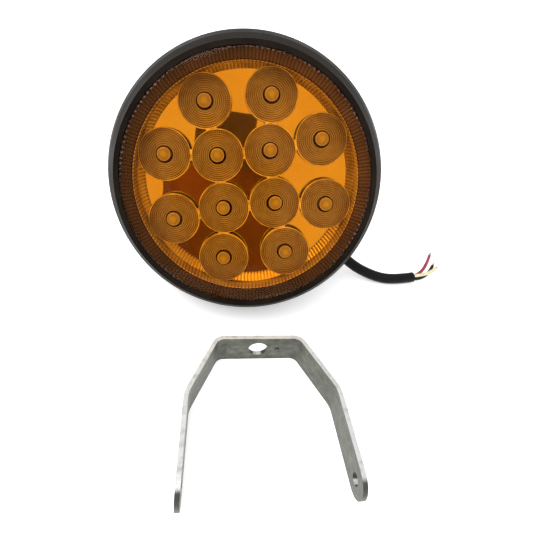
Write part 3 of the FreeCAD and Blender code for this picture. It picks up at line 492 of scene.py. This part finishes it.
def points_of(node):
    """A CAD node's points at rest, in metres."""
    mesh = NODES[node].data
    points = np.empty(len(mesh.vertices) * 3)
    mesh.vertices.foreach_get("co", points)
    return points.reshape(-1, 3)


def lamp_axes():
    """A matrix whose origin is the lens face's centre and whose Z axis looks out of the lens."""
    points = points_of("front_lens")
    _, _, directions = np.linalg.svd(points - points.mean(axis=0), full_matrices=False)
    outward = Vector(directions[2])
    if outward.y > 0:
        outward.negate()
    across = Vector((1.0, 0.0, 0.0))
    upward = outward.cross(across).normalized()
    turn = Matrix((across, upward, outward)).transposed()
    local = points @ np.array(turn)
    middle = (local.min(axis=0) + local.max(axis=0)) / 2.0
    face = Vector((middle[0], middle[1], local[:, 2].max()))
    return Matrix.Translation(turn @ face) @ turn.to_4x4()


LAMP = lamp_axes()


def lamp_points(node):
    """A node's points across, up and out of the lamp, from the lens face."""
    inverse = np.array(LAMP.inverted())
    return points_of(node) @ inverse[:3, :3].T + inverse[:3, 3]


def spans(node):
    """A node's lowest and highest values across, up and out of the lamp."""
    local = lamp_points(node)
    return local.min(axis=0), local.max(axis=0)


def inner_radius(node):
    """The smallest distance of a node's points from the lamp's axis."""
    local = lamp_points(node)
    return float(np.hypot(local[:, 0], local[:, 1]).min())


# ---- New objects -----------------------------------------------------------------------------

def new_object(name, data, matrix=Matrix()):
    """A new object in the scene."""
    item = bpy.data.objects.new(name, data)
    bpy.context.scene.collection.objects.link(item)
    item.matrix_world = matrix
    return item


def new_lamp_piece(name, data, material, node=None, matrix=None):
    """A piece that rides on the lamp, and stands for a CAD node where one is given."""
    data.materials.clear()
    data.materials.append(made[material])
    piece = new_object(name, data, LAMP if matrix is None else matrix)
    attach(piece, "lamp")
    if node:
        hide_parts(node)
    return piece


# ---- Meshes turned about an axis -------------------------------------------------------------

def turned_mesh(name, profile, segments, wave=None, closed=True, shift=lambda index: 0.0):
    """A skin turned about Z through (radius, height) points; wave(index, angle) adds (dr, dz).
    shift(index) moves a point's ring along X."""
    mesh = bmesh.new()
    rings = []
    for index, (radius, height) in enumerate(profile):
        if radius == 0.0:
            rings.append([mesh.verts.new((shift(index), 0.0, height))])
            continue
        ring = []
        for step in range(segments):
            angle = 2.0 * math.pi * step / segments
            dr, dz = wave(index, angle) if wave else (0.0, 0.0)
            reach = radius + dr
            ring.append(mesh.verts.new((reach * math.cos(angle) + shift(index), reach * math.sin(angle),
                                        height + dz)))
        rings.append(ring)
    pairs = list(zip(rings, rings[1:]))
    if closed:
        pairs.append((rings[-1], rings[0]))
    for inner, outer in pairs:
        if len(inner) == 1 and len(outer) == 1:
            continue
        for step in range(segments):
            following = (step + 1) % segments
            corners = []
            for ring, order in ((inner, (step, following)), (outer, (following, step))):
                corners += [ring[0]] if len(ring) == 1 else [ring[order[0]], ring[order[1]]]
            mesh.faces.new(corners)
    bmesh.ops.recalc_face_normals(mesh, faces=mesh.faces)
    data = bpy.data.meshes.new(name)
    mesh.to_mesh(data)
    mesh.free()
    data.shade_smooth()
    return data


def make_lens_margin():
    """The ribbed ring under the lens's margin, in the gasket's place."""
    low, high = spans("lens_gasket")
    outer = high[0]
    inner = inner_radius("lens_gasket")
    top = high[2] - RIB_HEIGHT * MM
    bottom = low[2]
    steps = 10
    face = [(inner + (outer - inner) * step / steps, top) for step in range(steps + 1)]
    profile = face + [(outer, bottom), (inner, bottom)]

    def ribs(index, angle):
        """Raised ribs on the face, scalloped at its inner end."""
        crest = abs(math.sin(LENS_RIBS * angle / 2.0))
        if index > steps:
            return 0.0, 0.0
        return (-RIB_SCALLOP * MM * crest if index == 0 else 0.0), RIB_HEIGHT * MM * crest

    data = turned_mesh("lens_margin", profile, LENS_RIBS * RIB_SEGMENTS, ribs)
    new_lamp_piece("lens_margin", data, "maroon_trim", "lens_gasket")


def make_fluted_wall():
    """The bright fluted skirt, from under the lens's margin down to the mirror plate."""
    low, high = spans("fluted_ring")
    outer = high[0]
    bottom = low[2]
    top = spans("lens_gasket")[0][2] - WALL_GAP * MM
    at_top = inner_radius("bezel_ring") - WALL_INSET * MM
    at_bottom = outer - WALL_TAPER * MM
    back = at_top + WALL_THICKNESS * MM
    steps = 8
    wall = [(at_top + (at_bottom - at_top) * step / steps,
             top + (bottom - top) * step / steps) for step in range(steps + 1)]
    profile = wall + [(outer, bottom), (outer, high[2]), (back, high[2]), (back, top)]

    def flutes(index, angle):
        """Sharp grooves between rounded ridges, on the wall's inside."""
        if index > steps:
            return 0.0, 0.0
        return FLUTE_HEIGHT * MM * (1.0 - abs(math.sin(WALL_FLUTES * angle / 2.0))), 0.0

    data = turned_mesh("fluted_wall", profile, WALL_FLUTES * FLUTE_SEGMENTS, flutes)
    new_lamp_piece("fluted_wall", data, "wall_chrome", "fluted_ring")


def make_lens():
    """The lens sheet with its moulded round edge."""
    low, high = spans("front_lens")
    radius, back = high[0], low[2]
    front = [(0.0, 0.0), (radius * 0.5, 0.0), (radius - 0.7 * MM, 0.0)]
    edge = [(radius - 0.25 * MM, -0.12 * MM), (radius, -0.55 * MM), (radius, back + 0.2 * MM)]
    rear = [(radius - 0.2 * MM, back), (radius * 0.5, back), (0.0, back)]
    data = turned_mesh("lens", front + edge + rear, LENS_SEGMENTS, closed=False)
    new_lamp_piece("lens", data, "amber_lens", "front_lens")


def optic_profile(radius, height, flange):
    """Half section of a collimator, from the boss in its well out over its stepped face and down."""
    points = [(0.0, (BOSS_RISE + BOSS_DOME) * MM)]
    for step in range(1, BOSS_STEPS + 1):
        share = step / BOSS_STEPS
        points.append(((BOSS_RADIUS - BOSS_DOME) * MM * share,
                       (BOSS_RISE + BOSS_DOME * math.cos(share * math.pi / 2)) * MM))
    points += [(BOSS_RADIUS * MM, (BOSS_RISE - BOSS_DOME) * MM), (BOSS_RADIUS * MM, -WELL_DEPTH * MM),
               (WELL_RADIUS * MM, -WELL_DEPTH * MM), (WELL_RADIUS * MM, -0.25 * MM),
               ((WELL_RADIUS + 0.2) * MM, -0.02 * MM)]
    start = GROOVE_START * MM
    pitch = GROOVE_PITCH * MM
    for groove in range(int((radius - 0.6 * MM - start) / pitch)):
        reach = start + groove * pitch
        points += [(reach, 0.0), (reach + 0.25 * pitch, -0.1 * GROOVE_DEPTH * MM),
                   (reach + 0.5 * pitch, -GROOVE_DEPTH * MM),
                   (reach + 0.75 * pitch, -0.5 * GROOVE_DEPTH * MM)]
    points += [(radius - 0.55 * MM, 0.0), (radius - 0.3 * MM, 0.06 * MM),
               (radius - 0.08 * MM, -0.06 * MM), (radius, -0.35 * MM),
               (radius, -flange + 0.1 * MM), (radius - 0.1 * MM, -flange)]
    neck = radius - 0.7 * MM
    foot = radius * CUP_FOOT
    for step in range(CUP_STEPS + 1):
        share = step / CUP_STEPS
        points.append((foot + (neck - foot) * math.sqrt(1.0 - share), -flange - (height - flange) * share))
    points.append((0.0, -height))
    return points


def make_webs(middles, radius):
    """The short moulded bars where neighbouring optics meet."""
    mesh = bmesh.new()
    for first, other in itertools.combinations(middles, 2):
        gap = (other - first).length - 2.0 * radius
        if gap > WEB_WIDTH * MM:
            continue
        across = (other - first).normalized()
        along = Vector((-across.y, across.x, 0.0))
        middle = (first + other) / 2.0 - Vector((0.0, 0.0, WEB_HEIGHT * MM / 2.0))
        turn = Matrix((across, along, Vector((0.0, 0.0, 1.0)))).transposed().to_4x4()
        size = Matrix.Diagonal((WEB_WIDTH * MM, WEB_LENGTH * MM, WEB_HEIGHT * MM, 1.0))
        bmesh.ops.create_cube(mesh, size=1.0, matrix=Matrix.Translation(middle) @ turn @ size)
    bmesh.ops.bevel(mesh, geom=mesh.edges[:], offset=WEB_EDGE * MM, segments=2, affect="EDGES")
    data = bpy.data.meshes.new("optic_webs")
    mesh.to_mesh(data)
    mesh.free()
    new_lamp_piece("optic_webs", data, "optic_web")


def make_optics():
    """The twelve collimators, all of one moulding, each boss shifted a little away from one place."""
    low, high = spans("collimator_01")
    radius = (high[0] - low[0]) / 2.0
    profile = optic_profile(radius, high[2] - low[2], OPTIC_FLANGE * MM)
    boss_end = BOSS_STEPS + 3       # the profile's points before the well's wall
    data = turned_mesh("optic", profile, OPTIC_SEGMENTS, closed=False,
                       shift=lambda index: -BOSS_SHIFT * MM if index < boss_end else 0.0)
    middles = []
    for number in range(1, 13):
        node = f"collimator_{number:02d}"
        low, high = spans(node)
        middle = Vector(((low[0] + high[0]) / 2.0, (low[1] + high[1]) / 2.0, high[2]))
        toward = Vector(BOSSES_LEAN_FROM) - middle.xy
        spin = Matrix.Rotation(math.atan2(toward.y, toward.x), 4, "Z")
        new_lamp_piece(f"optic_{number:02d}", data, "clear_optic", node,
                       LAMP @ Matrix.Translation(middle) @ spin)
        middles.append(middle)
    make_webs(middles, radius)


# ---- The lead --------------------------------------------------------------------------------

def make_lead():
    """The sheathed lead as one smooth curve."""
    curve = bpy.data.curves.new("lead_sheath", "CURVE")
    curve.dimensions = "3D"
    curve.bevel_depth = LEAD_DIAMETER / 2.0
    curve.bevel_resolution = 8
    curve.use_fill_caps = True
    curve.resolution_u = 16
    spline = curve.splines.new("NURBS")
    spline.points.add(len(LEAD_POINTS) - 1)
    for point, place in zip(spline.points, LEAD_POINTS):
        point.co = (*place, 1.0)
    spline.order_u = 3
    spline.use_endpoint_u = True
    piece = new_lamp_piece("lead_sheath", curve, "lead_sheath", "lead_jacket", Matrix())


# ---- CAD nodes -------------------------------------------------------------------------------

# Widths of the softened edges, in millimetres
BEVELS = {
    "bracket_strap": 0.35,
    "bezel_ring": 0.35,
    "housing": 0.6,
    "driver_box": 0.5,
    "rear_cover": 0.35,
    "pivot_bolts": 0.3,
    "pivot_washers": 0.15,
    "housing_screws": 0.2,
    "cover_screws": 0.2,
    "cable_gland": 0.4,
    "gland_nut": 0.5,
}
BEVEL_FROM_ANGLE = 28.0     # degrees; flatter edges stay as they are


def finish_cad_nodes():
    """Gives every CAD node its material, and softens the edges that show."""
    for name, piece in NODES.items():
        paint(piece, SLOT_OF[name])
        if name in BEVELS:
            bevel = piece.modifiers.new("edge", "BEVEL")
            bevel.width = BEVELS[name] * MM
            bevel.segments = 2
            bevel.limit_method = "ANGLE"
            bevel.angle_limit = math.radians(BEVEL_FROM_ANGLE)


# ---- Camera, floor and light -----------------------------------------------------------------

def make_camera():
    """The camera at the photo's place."""
    data = bpy.data.cameras.new("camera")
    data.lens = CAMERA_FOCAL_MM
    data.sensor_width = SENSOR_MM
    data.clip_start = NEAREST_SEEN
    heading = Matrix.Rotation(math.radians(-CAMERA_HEADING), 4, "Z")
    pitch = Matrix.Rotation(math.radians(90.0 - CAMERA_PITCH), 4, "X")
    roll = Matrix.Rotation(math.radians(CAMERA_ROLL), 4, "Z")
    place = Matrix.Translation(CAMERA_PLACE) @ heading @ pitch @ roll
    bpy.context.scene.camera = new_object("camera", data, place)


def make_floor():
    """A plain pale floor."""
    mesh = bpy.data.meshes.new("floor")
    mesh.from_pydata([(-FLOOR_REACH, -FLOOR_REACH, 0.0), (FLOOR_REACH, -FLOOR_REACH, 0.0),
                      (FLOOR_REACH, FLOOR_REACH, 0.0), (-FLOOR_REACH, FLOOR_REACH, 0.0)], [],
                     [(0, 1, 2, 3)])
    s = Surface("floor", (0.93, 0.93, 0.93), 0.8)
    s.set(s.shader, "Emission Color", (1.0, 1.0, 1.0))
    s.set(s.shader, "Emission Strength", FLOOR_GLOW)
    color = s.ramp(s.noise(6.0), [(0.3, (0.92, 0.92, 0.92)), (0.7, (0.95, 0.95, 0.95))])
    mesh.materials.append(s.finish(Base_Color=color))
    new_object("floor", mesh)


def make_flag(name, low_corner, high_corner, color, behind):
    """A card just behind the camera, across the lamp's axis."""
    (left, low), (right, high) = low_corner, high_corner
    out = (LAMP.inverted() @ Vector(CAMERA_PLACE)).z + behind
    mesh = bpy.data.meshes.new(name)
    mesh.from_pydata([(left, low, out), (left, high, out), (right, high, out), (right, low, out)], [],
                     [(0, 1, 2, 3)])
    card = new_object(name, mesh, LAMP)
    card.visible_camera = False
    card.visible_shadow = False
    card.visible_diffuse = False
    s = Surface(name, color, 0.8)
    darker = tuple(channel * 0.6 for channel in color)
    mesh.materials.append(s.finish(Base_Color=s.ramp(s.noise(30.0), [(0.3, darker), (0.7, color)])))


def make_light():
    """Even white light all round, with a broad soft sun from the upper left."""
    world = bpy.data.worlds.new("studio")
    bpy.context.scene.world = world
    world.use_nodes = True
    background = world.node_tree.nodes["Background"]
    background.inputs["Color"].default_value = (1.0, 1.0, 1.0, 1.0)
    background.inputs["Strength"].default_value = WORLD_STRENGTH
    data = bpy.data.lights.new("sun", "SUN")
    data.energy = SUN_STRENGTH
    data.angle = math.radians(SUN_SPREAD)
    new_object("sun", data, Vector(SUN_FROM).to_track_quat("Z", "Y").to_matrix().to_4x4())
    bpy.context.scene.view_settings.view_transform = "Standard"
    for name, flag in FLAGS.items():
        make_flag(name, *flag)


make_camera()
make_lead()
finish_cad_nodes()
make_lens()
make_lens_margin()
make_fluted_wall()
make_optics()
make_floor()
make_light()
